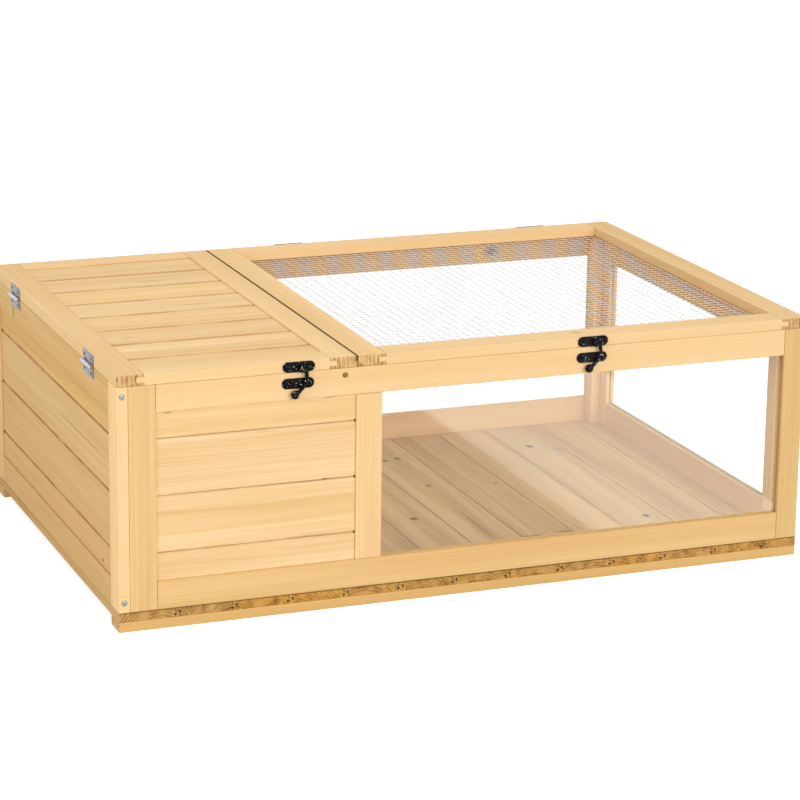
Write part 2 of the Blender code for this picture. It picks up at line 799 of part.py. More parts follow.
def make_hinges(prefix, labels, centres, axis_point, out, lid, wall_piece, lid_piece):
    """The two hinges of one lid, and their screw holes in the wall and the lid."""
    sides = (("wall", -1, root, wall_piece), ("lid", 1, lid, lid_piece))
    for side, upward, carrier, wood in sides:
        leaf = leaf_mesh(f"{side}_leaf", out, upward)
        holes = []
        for label, centre in zip(labels, centres):
            place = Matrix.Translation(axis_point + out.cross(UP) * centre)
            name = f"{prefix}_{label}_hinge_{side}_leaf"
            add_piece(name, leaf, place, zinc, carrier, smooth=True)
            holes += [place @ screw for screw in leaf_screw_places(out, upward)]
        bore(f"{prefix}_{side}_screw_holes", screw_hole_profile, holes, carrier, [wood])


def rod_maker(name, radius, direction, ends):
    """A round rod through the origin, with its two ends along the direction."""
    profile = [(0, ends[1]), (radius, ends[1]), (radius, ends[0]), (0, ends[0])]
    rod = loose_object(name, turned_mesh(name, profile, round_steps))
    rod.matrix_world = facing(Vector((0, 0, 0)), direction)
    return rod


def stadium(length, width):
    """A plate's outline with round ends."""
    straight = (length - width) / 2
    return arc((straight, 0), width / 2, -90, 90, 6) + arc((-straight, 0), width / 2, 90, 270, 6)


plate_middle_out = gap + latch_plate_thickness / 2


def plate_screw_places():
    seat = FRONT_SIDE * (latch_plate_thickness / 2 - screw_head_sink)
    return [facing(seat + RIGHT * plate_screw_offset * side, FRONT_SIDE) for side in (-1, 1)]


def plate_mesh(name, *studs):
    """A latch plate about its own middle, with its screws and the studs that stand on it."""
    outlines = [stadium(latch_plate_length, latch_plate_width)]
    plate = loose_object(name, extruded_mesh(name, outlines, latch_plate_thickness, RIGHT, UP))
    for stud in studs:
        join(plate, stud)
    screws = join_screws(plate, plate_screw_places())
    return take_mesh(plate, *studs, *screws)


def rivet_maker():
    """The pivot rivet, about the plate's middle: its shank stands up from the plate."""
    under_head = arm_middle_out + arm_radius + gap - plate_middle_out
    profile = [
        (0, under_head + rivet_head_height), (rivet_head_radius, under_head + rivet_head_height),
        (rivet_head_radius, under_head), (rivet_radius, under_head), (rivet_radius, 0), (0, 0),
    ]
    rivet = loose_object("rivet", turned_mesh("rivet", profile, round_steps))
    rivet.matrix_world = facing(Vector((lid_plate_shift, 0, -lid_plate_rise)), FRONT_SIDE)
    return rivet


def stud_maker():
    """The stud of a catch plate, as low as its screw heads, so that the arm passes over it."""
    height = latch_plate_thickness / 2 + screw_head_height - screw_head_sink
    stud = rod_maker("stud", stud_radius, FRONT_SIDE, (0, height))
    stud.location = Vector((catch_plate_shift + stud_shift, 0, catch_plate_drop - stud_drop))
    return stud


def arm_mesh():
    """A latch arm about its pivot: an eye round the rivet, a bent rod and a knob."""
    path = bpy.data.curves.new("arm", "CURVE")
    path.dimensions = "3D"
    path.bevel_depth = arm_radius
    path.bevel_resolution = 1
    path.use_fill_caps = True
    spline = path.splines.new("POLY")
    spline.points.add(len(arm_path_shares) - 1)
    for point, (x, z) in zip(spline.points, arm_path_shares):
        point.co = (x * arm_reach, 0, z * arm_drop, 1)
    arm = loose_object("arm", take_mesh(loose_object("arm_path", path)))
    eye_back = screw_seat + gap - arm_middle_out
    eye = rod_maker("eye", arm_eye_radius, FRONT_SIDE, (eye_back, arm_radius))
    ball = bmesh.new()
    flattened = Matrix.Diagonal((1, knob_half_depth / knob_radius, 1, 1))
    bmesh.ops.create_uvsphere(ball, u_segments=12, v_segments=8, radius=knob_radius, matrix=flattened)
    knob_sphere = bpy.data.meshes.new("knob")
    ball.to_mesh(knob_sphere)
    ball.free()
    knob = loose_object("knob", knob_sphere)
    knob.location = Vector((arm_path_shares[-1][0] * arm_reach, 0, arm_path_shares[-1][1] * arm_drop))
    hole = rod_maker("hole", rivet_radius + gap, FRONT_SIDE, (eye_back - overrun, arm_radius + overrun))
    join(arm, eye)
    join(arm, knob)
    subtract(arm, hole)
    return take_mesh(arm, eye, knob, hole)


def make_latches():
    arm = arm_mesh()
    lid_plate = plate_mesh("lid_plate", rivet_maker())
    catch_plate = plate_mesh("catch_plate", stud_maker())
    catch_holes = []
    for side, latch, lid, rail in (
        ("left", left_latch, left_lid, "left_lid_front_rail"),
        ("right", right_latch, mesh_lid, "mesh_lid_front_rail"),
    ):
        pivot = Vector((latch.origin.x, -plate_middle_out, latch.origin.z))
        on_lid = Matrix.Translation(pivot + Vector((-lid_plate_shift, 0, lid_plate_rise)))
        on_wall = Matrix.Translation(pivot - Vector((catch_plate_shift, 0, catch_plate_drop)))
        at_pivot = Matrix.Translation(latch.origin)
        add_piece(f"{side}_latch_arm", arm, at_pivot, black_metal, latch, smooth=True)
        add_piece(f"{side}_latch_lid_plate", lid_plate, on_lid, black_metal, lid, smooth=True)
        add_piece(f"{side}_latch_catch_plate", catch_plate, on_wall, black_metal, root, smooth=True)
        lid_holes = [on_lid @ screw for screw in plate_screw_places()]
        bore(f"{side}_latch_screw_holes", screw_hole_profile, lid_holes, lid, [rail])
        catch_holes += [on_wall @ screw for screw in plate_screw_places()]
    bore("catch_screw_holes", screw_hole_profile, catch_holes, root, ["front_wall_top_rail"])


def make_fittings():
    make_hinges(
        "left_lid", ("front", "back"), left_hinge_centres, Vector((-hinge_axis_out, 0, hinge_height)),
        LEFT_SIDE, left_lid, "left_wall_top_rail", "left_lid_hinge_stile",
    )
    back_axis = Vector((0, overall_depth + hinge_axis_out, hinge_height))
    make_hinges(
        "mesh_lid", ("left", "right"), back_hinge_centres, back_axis,
        BACK_SIDE, mesh_lid, "back_wall_top_rail", "mesh_lid_back_rail",
    )
    make_latches()


make_base()
make_left_wall()
make_long_wall("front_wall", 0, front_sill, opening_top)
make_long_wall("back_wall", overall_depth - wall_thickness, far_sill, back_opening_top)
make_right_wall()
make_divider()
make_corner_posts()
make_left_lid()
make_mesh_lid()
make_wire_mesh()
make_frame_screws()
make_fittings()
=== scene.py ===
"""Looks for the wooden reptile cage: grained fir, clear windows, wire mesh and small fittings.

Lengths are in millimetres from the front left bottom corner of the cage, unless said otherwise.
Colours are linear.
"""

import math
import random
from dataclasses import dataclass

import bmesh
import bpy
from mathutils import Matrix, Vector


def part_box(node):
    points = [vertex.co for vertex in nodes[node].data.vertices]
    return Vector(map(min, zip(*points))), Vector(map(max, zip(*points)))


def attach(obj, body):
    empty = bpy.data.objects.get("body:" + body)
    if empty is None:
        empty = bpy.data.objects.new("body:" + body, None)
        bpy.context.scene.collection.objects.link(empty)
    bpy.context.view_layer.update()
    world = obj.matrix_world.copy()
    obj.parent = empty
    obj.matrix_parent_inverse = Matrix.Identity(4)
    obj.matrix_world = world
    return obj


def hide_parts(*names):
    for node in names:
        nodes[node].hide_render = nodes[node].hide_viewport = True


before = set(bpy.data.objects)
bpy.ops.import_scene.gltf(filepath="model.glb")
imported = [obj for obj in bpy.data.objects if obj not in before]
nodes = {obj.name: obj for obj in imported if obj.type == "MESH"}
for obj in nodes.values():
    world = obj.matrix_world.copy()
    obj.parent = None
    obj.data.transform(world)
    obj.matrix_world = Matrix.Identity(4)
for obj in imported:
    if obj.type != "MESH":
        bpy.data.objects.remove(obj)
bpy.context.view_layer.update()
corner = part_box("left_wall_front_stile")[0]
ORIGIN = Vector((corner.x, corner.y, 0))
X, Y, Z = Vector((1, 0, 0)), Vector((0, 1, 0)), Vector((0, 0, 1))


def at(x, y, z):
    """A point in the row frame, in metres."""
    return ORIGIN + Vector((x, y, z)) / 1000


def from_corner(x):
    """How far an x of the row frame lies to the right of the cage's corner."""
    return (x - ORIGIN.x) * 1000


# Shader trees

class Tree:
    """Short ways to add shader nodes."""

    def __init__(self, tree):
        self.tree = tree

    def put(self, socket, value):
        if isinstance(value, bpy.types.NodeSocket):
            self.tree.links.new(value, socket)
        else:
            socket.default_value = value

    def node(self, kind, inputs=None, **settings):
        node = self.tree.nodes.new("ShaderNode" + kind)
        for key, value in settings.items():
            setattr(node, key, value)
        for key, value in (inputs or {}).items():
            self.put(node.inputs[key], value)
        return node

    def math(self, operation, *values, clamp=False):
        inputs = dict(enumerate(values))
        return self.node("Math", inputs, operation=operation, use_clamp=clamp).outputs[0]

    def vector(self, operation, *values):
        node = self.node("VectorMath", dict(enumerate(values)), operation=operation)
        return node.outputs["Value" if operation == "LENGTH" else "Vector"]

    def chain(self, operation, values):
        total = values[0]
        for value in values[1:]:
            total = self.math(operation, total, value)
        return total

    def add(self, *values):
        return self.chain("ADD", values)

    def most(self, *values):
        return self.chain("MAXIMUM", values)

    def minus(self, a, b):
        return self.math("SUBTRACT", a, b)

    def times(self, a, b):
        return self.math("MULTIPLY", a, b)

    def join(self, x, y, z):
        return self.node("CombineXYZ", {"X": x, "Y": y, "Z": z}).outputs[0]

    def split(self, vector):
        return self.node("SeparateXYZ", {"Vector": vector}).outputs

    def ramp(self, value, low, high, to_low=0.0, to_high=1.0, smooth=True):
        """The value's place between low and high, as an amount from to_low to to_high."""
        inputs = {"Value": value, "From Min": low, "From Max": high, "To Min": to_low, "To Max": to_high}
        kind = "SMOOTHSTEP" if smooth else "LINEAR"
        return self.node("MapRange", inputs, interpolation_type=kind).outputs[0]

    def noise(self, vector, detail=2.0, rough=0.5, scale=1.0, output="Fac"):
        inputs = {"Vector": vector, "Scale": scale, "Detail": detail, "Roughness": rough}
        return self.node("TexNoise", inputs).outputs[output]

    def random(self, seed):
        """The outputs of white noise: the same for one seed, and unrelated to the next."""
        return self.node("TexWhiteNoise", {"W": seed}, noise_dimensions="1D").outputs

    def mix(self, amount, a, b):
        inputs = {0: amount, 6: a, 7: b}
        return self.node("Mix", inputs, data_type="RGBA").outputs[2]

    def bump(self, shader, height, strength, distance):
        inputs = {"Height": height, "Strength": strength, "Distance": distance}
        self.put(shader.inputs["Normal"], self.node("Bump", inputs).outputs[0])

    def object_place(self):
        return self.node("TexCoord").outputs["Object"]

    def seen(self):
        """1 for rays from the camera and for reflected and refracted rays, else 0."""
        path = self.node("LightPath").outputs
        return self.most(path["Is Camera Ray"], path["Is Glossy Ray"], path["Is Transmission Ray"])


def new_material(name):
    """A material with nodes, its tree and its shader."""
    material = bpy.data.materials.new(name)
    material.use_nodes = True
    t = Tree(material.node_tree)
    return material, t, t.tree.nodes["Principled BSDF"]


# Wood. The pairs are a colour and what warmth makes of it, or for cut ends what painted shade makes of it.

SIDE_PALE = (0.945, 0.690, 0.385, 1), (0.870, 0.570, 0.225, 1)
SIDE_DEEP = (0.760, 0.455, 0.175, 1), (0.640, 0.350, 0.100, 1)
END_PALE = (0.800, 0.520, 0.235, 1), (0.780, 0.400, 0.085, 1)
END_DEEP = (0.400, 0.200, 0.065, 1), (0.240, 0.105, 0.020, 1)
BLUSH = (0.800, 0.455, 0.190, 1)
# LINE is painted shade in seams and along rims, warm as in a deep groove; MARK is the dark of knots, stains
# and cracks, and also painted shade in gaps and holes
LINE = (0.560, 0.235, 0.045, 1)
MARK = (0.095, 0.048, 0.024, 1)

# Waves per metre along and across the grain, and levels of detail, with roughness where it counts
BROAD_STREAKS = 1.3, 34.0, 2.0
MIDDLE_STREAKS = 2.6, 95.0, 2.0, 0.6
FIBRES = 10.0, 520.0, 3.0, 0.6
GRIT = 60.0, 1500.0, 2.0
PATCHES = 0.0, 90.0, 3.0, 0.6
BLUSH_PATCHES = 1.8, 22.0, 2.0
RING_WOBBLE = 7.0, 42.0, 2.0


def fir_group():
    """Softwood grain. Place is metres along, across and through a log, from its pith.

    Ring is the width of a year's ring, and Bulge pushes the rings out round a knot. End, Line and
    Mark say how far a spot is a cut end, painted shade in a seam or along a rim, or a dark mark: a
    knot, stain or crack, or painted shade in a gap or hole.
    """
    factors = ("Seed", "Ring", "Contrast", "Warmth", "Bulge", "End", "EndShade", "Mark", "Line")
    inputs = {"Place": "Vector", **{label: "Float" for label in factors}}
    outputs = {"Color": "Color", "Roughness": "Float", "Height": "Float"}
    group = bpy.data.node_groups.new("fir_grain", "ShaderNodeTree")
    for direction, sockets in (("INPUT", inputs), ("OUTPUT", outputs)):
        for label, kind in sockets.items():
            group.interface.new_socket(label, in_out=direction, socket_type="NodeSocket" + kind)
    t = Tree(group)
    start = group.nodes.new("NodeGroupInput").outputs
    end = group.nodes.new("NodeGroupOutput").inputs
    u, v, w = t.split(start["Place"])
    seed = t.join(*[t.times(start["Seed"], factor) for factor in (3.71, 5.13, 7.37)])

    def field(along, across, detail, rough=0.5, output="Fac"):
        place = t.join(t.times(u, along), t.times(v, across), t.times(w, across))
        return t.noise(t.vector("ADD", place, seed), detail, rough, output=output)

    def streaks(waves):
        return t.minus(field(*waves), 0.5)

    # Rings about a pith that drifts along the log, each with a dark late part of its own strength
    drift = t.split(t.vector("SUBTRACT", field(2.6, 0.0, 1.0, output="Color"), (0.5, 0.5, 0.5)))
    centre_v = t.add(v, t.times(drift[0], 0.009))
    centre_w = t.add(w, t.times(drift[1], 0.009))
    radius = t.vector("LENGTH", t.join(centre_v, centre_w, 0.0))
    wobble = t.times(streaks(RING_WOBBLE), 0.0024)
    ring = t.math("DIVIDE", t.add(radius, wobble, start["Bulge"]), start["Ring"])
    part = t.math("FRACT", ring)
    luck = t.random(t.add(t.math("FLOOR", ring), start["Seed"]))["Value"]
    late = t.times(t.ramp(part, 0.20, 0.90), t.ramp(part, 0.91, 1.0, 1.0, 0.0))
    late = t.times(late, t.ramp(luck, 0.0, 1.0, 0.15, 1.0, False))

    # Sides: rings and streaks from pale to deep, with patches of a redder tone
    broad, middle, fibre, grit = [streaks(waves) for waves in (BROAD_STREAKS, MIDDLE_STREAKS, FIBRES, GRIT)]
    grain = t.add(t.times(late, 0.22), t.times(broad, 1.10), t.times(middle, 0.50), t.times(fibre, 0.36))
    amount = t.add(0.33, t.times(grain, start["Contrast"]))
    amount = t.math("MAXIMUM", t.math("MINIMUM", amount, 1.0), 0.0)
    side = t.mix(amount, t.mix(start["Warmth"], *SIDE_PALE), t.mix(start["Warmth"], *SIDE_DEEP))
    blush = t.ramp(field(*BLUSH_PATCHES), 0.52, 0.78, 0.0, 0.42)
    side = t.mix(t.times(blush, t.math("MINIMUM", start["Contrast"], 1.0)), side, BLUSH)

    # Cut ends: the rings' sections in patches, with fainter rings and darker colours where painted shade
    # lies on them
    sections = t.times(t.ramp(part, 0.15, 0.85), t.ramp(luck, 0.0, 1.0, 0.35, 1.0, False))
    sections = t.times(sections, t.ramp(start["EndShade"], 0.0, 1.0, 0.80, 0.30, False))
    dark = t.add(sections, t.times(fibre, 0.8), t.times(streaks(PATCHES), 2.4), 0.18)
    dark = t.math("MINIMUM", t.math("MAXIMUM", dark, 0.0), 1.0)
    cut = t.mix(dark, t.mix(start["EndShade"], *END_PALE), t.mix(start["EndShade"], *END_DEEP))

    # Line paints shade in seams and along rims; Mark darkens knots, stains and cracks, and paints shade in
    # gaps and holes
    colour = t.mix(start["Line"], t.mix(start["End"], side, cut), LINE)
    t.put(end["Color"], t.mix(start["Mark"], colour, MARK))
    t.put(end["Roughness"], t.add(0.56, t.times(fibre, 0.22), t.times(late, 0.06)))
    height = t.add(t.times(late, -0.4), t.times(grit, 0.9), t.times(fibre, 0.7))
    t.put(end["Height"], t.add(height, t.times(start["Line"], -3.0), t.times(start["Mark"], -2.0)))
    return group


FIR = fir_group()


@dataclass
class Wood:
    """How one wooden node is cut from its log, and where its seams, marks and lines of painted shade are.
    """
    tone: float = 1.0       # brightness, which on some nodes paints how much light falls there
    warmth: float = 0.0     # 0 is pale and 1 is orange
    contrast: float = 1.0   # of the grain
    ring: float = 3.4       # width of a year's ring
    end_shade: float = 0.0       # 1 where painted shade darkens the cut ends
    vary: float = 1.0       # how much the boards of one node differ in tone
    pith: tuple = None      # how far the pith lies off, across and through, in metres
    seams: tuple = None     # where the first board starts, and the boards' pitch
    seam_line: tuple = (2.4, 0.35, 0.3)  # painted shade along a seam: its half width, its depth, and that of its dark core
    bay: tuple = None       # where the boards' ends meet the frame, from and to
    marks: tuple = ()       # dark spots and cracks, and painted shade in gaps and holes, each as place, half sizes and depth


# Where a line or mark is full and where it has faded out: in metres from a seam or an edge, and for
# marks as a share of their half sizes
SEAM_START = 0.0006
SEAM_CORE = 0.0003, 0.0010
BAY_LINE = 0.0002, 0.0012
NOTCH_FROM_EDGE, NOTCH_FROM_SEAM = (0.0016, 0.0034), (0.0010, 0.0024)
RIM_LINE, RIM_DEPTH = (0.0002, 0.0009), 0.50
MARK_FADE = 0.45, 1.15
KNOT_FADE, KNOT_BULGE = (0.5, 4.5), 0.007


def box_axes(name):
    """The axes along, across and through a node, longest first, unless its boards are shorter."""
    low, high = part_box(name)
    size = high - low
    axes = sorted(range(3), key=lambda axis: -size[axis])
    if name in ("floor_boards", "left_lid_boards"):
        axes[0], axes[1] = axes[1], axes[0]
    return axes


def board_grain(t, wood, number, parts, axes, spot, side, uneven_shade):
    """A node of many boards: each has its own log, and painted shade runs along the seams between them."""
    along, _, through = spot
    first, pitch = wood.seams
    board = t.math("DIVIDE", t.minus(parts[axes[1]], ORIGIN[axes[1]] + first / 1000), pitch / 1000)
    index = t.math("FLOOR", board)
    within = t.times(t.minus(t.minus(board, index), 0.5), pitch / 1000)
    seed = t.add(t.times(index, 2.37), number)
    luck = t.random(seed)
    red, green, blue = t.node("SeparateColor", {"Color": luck["Color"]}).outputs
    tint = t.ramp(luck["Value"], 0.0, 1.0, -0.5 * wood.vary, 0.5 * wood.vary, False)
    half, depth, core = wood.seam_line
    # Painted shade along each seam, with a darker core in the groove
    seam = t.minus(pitch / 2000, t.math("ABSOLUTE", within))
    line = t.times(t.ramp(seam, SEAM_START, half / 1000, depth, 0.0), uneven_shade)
    marked = t.times(t.ramp(seam, *SEAM_CORE, core, 0.0), uneven_shade)
    # Painted shade where the boards' ends meet the frame, and in a hole at each seam's far end
    if wood.bay:
        start, stop = [ORIGIN[axes[0]] + edge / 1000 for edge in wood.bay]
        far = t.minus(stop, parts[axes[0]])
        close = t.math("MINIMUM", t.minus(parts[axes[0]], start), far)
        line = t.most(line, t.ramp(close, *BAY_LINE, depth * 0.8, 0.0))
        notch = t.times(t.ramp(far, *NOTCH_FROM_EDGE, 1.0, 0.0), t.ramp(seam, *NOTCH_FROM_SEAM, 1.0, 0.0))
        marked = t.most(marked, notch)
    along = t.add(along, t.times(blue, 5.0))
    across = t.add(within, t.ramp(red, 0.0, 1.0, -0.045, 0.045, False))
    through = t.add(through, t.ramp(green, 0.0, 1.0, 0.018, 0.075, False))
    return (along, across, through), seed, tint, t.times(line, side), t.times(marked, side)


def bar_grain(t, wood, dice, width, axes, spot, normal, uneven_shade):
    """A node of one bar: its place in its log is by chance, and a line of painted shade runs along its
    rims.
    """
    along, across, through = spot
    rim = t.minus(width / 2, t.math("ABSOLUTE", across))
    broad_face = t.ramp(t.math("ABSOLUTE", normal[axes[1]]), 0.5, 0.9, 1.0, 0.0)
    line = t.times(t.times(t.ramp(rim, *RIM_LINE, RIM_DEPTH, 0.0), uneven_shade), broad_face)
    pith = wood.pith or (dice.uniform(-0.06, 0.06), dice.choice((-1, 1)) * dice.uniform(0.012, 0.06))
    return (along, t.add(across, pith[0]), t.add(through, pith[1])), dice.uniform(-0.25, 0.25), line


def add_marks(t, wood, place, marked):
    """The node's marks over what is marked so far, and how far its knots push the rings out."""
    bulge = 0.0
    for spot, sizes, depth in wood.marks:
        away = t.vector("SUBTRACT", place, tuple(at(*spot)))
        away = t.vector("DIVIDE", away, tuple(size / 1000 for size in sizes))
        distance = t.vector("LENGTH", away)
        marked = t.most(marked, t.ramp(distance, *MARK_FADE, depth, 0.0))
        is_knot = min(sizes) > 2 and depth > 0.3
        if is_knot:
            bulge = t.add(bulge, t.ramp(distance, *KNOT_FADE, KNOT_BULGE, 0.0))
    return marked, bulge


def fir_material(name, wood, number):
    material, t, shader = new_material("fir_" + name)
    dice = random.Random(number * 17 + 5)
    low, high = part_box(name)
    middle = (low + high) / 2
    axes = box_axes(name)
    place = t.object_place()
    parts = t.split(place)
    normal = t.split(t.node("TexCoord").outputs["Normal"])
    spot = [t.minus(parts[axis], middle[axis]) for axis in axes]
    end = t.ramp(t.math("ABSOLUTE", normal[axes[0]]), 0.6, 0.85)
    # The painted shade in seams and along rims is stronger in some patches and weaker in others
    uneven_shade = t.ramp(t.noise(place, 2.0, scale=18.0), 0.30, 0.62, 0.35, 1.0)
    if wood.seams:
        side = t.minus(1.0, end)
        spot, seed, tint, line, marked = board_grain(t, wood, number, parts, axes, spot, side, uneven_shade)
    else:
        width = (high - low)[axes[1]]
        seed, marked = float(number), 0.0
        spot, tint, line = bar_grain(t, wood, dice, width, axes, spot, normal, uneven_shade)
    marked, bulge = add_marks(t, wood, place, marked)
    grain = t.node("Group")
    grain.node_tree = FIR
    inputs = {
        "Place": t.join(*spot), "Seed": seed, "Ring": wood.ring / 1000, "Contrast": wood.contrast,
        "Warmth": t.math("ADD", wood.warmth, t.times(tint, 0.45), clamp=True), "Bulge": bulge,
        "End": end, "EndShade": t.times(t.add(0.72, t.times(tint, 0.56)), wood.end_shade),
        "Mark": marked, "Line": line,
    }
    for key, value in inputs.items():
        t.put(grain.inputs[key], value)
    shade = t.node("HueSaturation", {"Color": grain.outputs["Color"]})
    t.put(shade.inputs["Value"], t.times(t.add(1.0, t.times(tint, 0.09)), wood.tone))
    t.put(shader.inputs["Base Color"], shade.outputs[0])
    t.put(shader.inputs["Roughness"], grain.outputs["Roughness"])
    shader.inputs["Specular IOR Level"].default_value = 0.05
    t.bump(shader, grain.outputs["Height"], 0.35, 0.0002)
    return material


# Where the marks are, as the photo has them

WALL_SEAMS = WALL_FIRST, BOARD_PITCH = 95.2, 70.7
FLOOR_FIRST, FLOOR_PITCH = 70, 71.7
CLOSED_BAY = 48, 299.5
FLOOR_LEVEL, LID_LEVEL = 24.2, 317


def knots(*spots):
    """Round knots on the floor, as x, y, radius and depth."""
    return [((x, y, FLOOR_LEVEL), (radius, radius * 1.3, 6), depth) for x, y, radius, depth in spots]


floor_marks = knots(
    (467, 231, 6, 0.9), (540, 362, 4, 0.8), (545, 495, 5, 0.8), (525, 490, 5, 0.7),
    (745, 490, 6, 0.85), (778, 465, 6, 0.55), (763, 145, 6, 0.85), (632, 345, 5, 0.5),
)
floor_crack = (536, 190, FLOOR_LEVEL), (0.9, 82, 3), 0.75
floor_stains = [((588, 115, FLOOR_LEVEL), (16, 4, 3), 0.6), ((633, 118, FLOOR_LEVEL), (11, 4, 3), 0.6)]
# Painted shade in a hole in the front end of each floor board, and a painted shadow along the floor's front
# ends where the front wall stands over them
end_holes = [
    ((FLOOR_FIRST + FLOOR_PITCH * i, 0, 16.4), (2.3 + i % 3 * 0.3, 3, 1.7), 0.95) for i in range(12)]
wall_gap = (454, 0, FLOOR_LEVEL), (900, 3, 1.5), 0.6
floor_marks += [floor_crack, *floor_stains, *end_holes, wall_gap]

# Painted shade in the gap between the two lids
lid_gap = (from_corner(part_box("left_lid_meeting_stile")[1].x), 300, 316), (2.3, 900, 7), 0.90
lid_stains = [
    ((178, 454, LID_LEVEL), (24, 7, 5), 0.16), ((195, 315, LID_LEVEL), (30, 4, 5), 0.17),
    ((67, 177, LID_LEVEL), (16, 4, 5), 0.16),
]
# Darker spots and short lines on the front wall's seams: painted shade where the seams look deeper
front_seam_shade = [
    ((260.4, 0, 166.3), (6, 5, 1.3), 0.65), ((240, 0, 165.2), (26, 5, 1.2), 0.30),
    ((236, 0, 96.5), (34, 5, 1.0), 0.30), ((63, 0, 267.2), (7, 5, 1.6), 0.35),
    ((266, 0, 268.2), (12, 5, 1.0), 0.35), ((181, 0, 233), (26, 5, 1.6), 0.12),
]
# Painted shade in the holes at the back ends of the left wall's seams, a crack along a board, and a spot
# near the foot
left_marks = [((0, 565, WALL_FIRST + BOARD_PITCH * i), (9, 6, 2.6), 0.95) for i in range(3)]
left_marks += [((5, 170, 201), (12, 150, 0.8), 0.6), ((2, 75, 68), (6, 4, 2.5), 0.8)]
# Painted shade along the top of the right wall's sill, where the pane stands in it
sill_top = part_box("right_wall_bottom_rail")[1]
pane_foot = (from_corner(sill_top.x), 300, sill_top.z * 1000), (12, 900, 1.2), 0.55

SPLIT_STILE = {"contrast": 0.8, "pith": (0.080, 0.004)}
# The left wall's pieces are darker and warmer: painted shade for the side that gets less light
LEFT_WALL = {"tone": 0.88, "warmth": 0.8}

woods = {
    # The floor is darker and warmer: painted shade for the inside of the house; its front ends also get
    # painted shade under the front wall
    "floor_boards": Wood(
        tone=0.79, warmth=0.90, contrast=2.0, ring=4.4, end_shade=1.0,
        seams=(FLOOR_FIRST, FLOOR_PITCH), seam_line=(2.2, 0.5, 0.65), marks=floor_marks),
    "front_wall_boards": Wood(
        contrast=1.25, vary=0.4, seams=WALL_SEAMS, seam_line=(2.4, 0.40, 0.0), bay=CLOSED_BAY,
        marks=front_seam_shade),
    "back_wall_boards": Wood(seams=WALL_SEAMS, bay=CLOSED_BAY),
    "left_wall_boards": Wood(
        **LEFT_WALL, seams=WALL_SEAMS, seam_line=(3.2, 1.0, 0.2), bay=(34.5, 569), marks=left_marks),
    "left_wall_top_rail": Wood(**LEFT_WALL, marks=[((0, 492, 283), (5, 9, 16), 0.30)]),
    "left_wall_bottom_rail": Wood(**LEFT_WALL),
    "left_wall_back_stile": Wood(warmth=0.7),
    "left_wall_front_stile": Wood(tone=1.06, contrast=0.7),
    "divider_boards": Wood(seams=WALL_SEAMS),
    "left_lid_boards": Wood(
        tone=1.02, warmth=0.15, seams=(74, BOARD_PITCH), seam_line=(6.5, 0.75, 0.1),
        bay=(34, 265.5), marks=lid_stains),
    "left_lid_hinge_stile": Wood(
        warmth=0.3, ring=6.0, marks=[((1.5, 0, 313), (0.9, 4, 3), 0.9)], **SPLIT_STILE),
    "left_lid_meeting_stile": Wood(warmth=0.1, ring=5.5, marks=[lid_gap], **SPLIT_STILE),
    "mesh_lid_meeting_stile": Wood(warmth=0.1, ring=5.0, marks=[lid_gap], **SPLIT_STILE),
    "mesh_lid_right_stile": Wood(tone=0.94, warmth=0.2, ring=5.0, **SPLIT_STILE),
    # Lighter all over: painted light for the rail's inner face, which faces the front
    "mesh_lid_back_rail": Wood(tone=1.06, contrast=0.4),
    "left_lid_front_rail": Wood(contrast=0.5),
    "mesh_lid_front_rail": Wood(contrast=0.5, marks=[((597, 20, 317.5), (9, 3, 4), 0.35)]),
    "front_wall_top_rail": Wood(contrast=0.6),
    "front_wall_left_stile": Wood(tone=0.97, warmth=0.28, contrast=1.3, ring=9.0, pith=(0.10, 0.01)),
    "front_wall_bottom_rail": Wood(tone=0.97, warmth=0.60),
    "front_wall_right_stile": Wood(tone=0.90, warmth=0.45),
    # Darker and warmer: painted shade on the back top rail, which lies under the mesh lid
    "back_wall_top_rail": Wood(tone=0.88, warmth=0.9, marks=[((722, 596, 289.5), (15, 12, 11), 0.85)]),
    # Lighter: painted light on the pieces in the back right corner inside the house
    "back_right_corner_post": Wood(tone=1.05, warmth=0.5),
    "back_wall_right_stile": Wood(tone=1.05, warmth=0.5),
    "back_wall_bottom_rail": Wood(warmth=0.5),
    "right_wall_top_rail": Wood(warmth=0.8),
    # Lighter: painted light in the back right corner inside the house
    "right_wall_back_stile": Wood(tone=1.08, warmth=0.5),
    "right_wall_front_stile": Wood(tone=0.92, warmth=0.8),
    "right_wall_bottom_rail": Wood(tone=0.97, warmth=0.7, marks=[pane_foot]),
    "base_front_batten": Wood(tone=0.93, warmth=1.0, contrast=0.8),
}


def make_wood():
    """Grain on every wooden node, with painted shade in its seams and along its rims, and rounded edges."""
    soft = [name for name, node in nodes.items() if node.data.materials[0].name.startswith("fir")]
    for number, name in enumerate(sorted(soft)):
        material = fir_material(name, woods.get(name, Wood()), number)
        node = nodes[name]
        node.data.materials[0] = material
        weld = node.modifiers.new("weld", "WELD")
        weld.merge_threshold = 0.00001
        flat = node.modifiers.new("dissolve", "DECIMATE")
        flat.decimate_type = "DISSOLVE"
        flat.angle_limit = math.radians(1)
        bevel = node.modifiers.new("bevel", "BEVEL")
        bevel.width = 0.0005
        bevel.segments = 2
        bevel.limit_method = "ANGLE"
        bevel.angle_limit = math.radians(40)


# Other materials

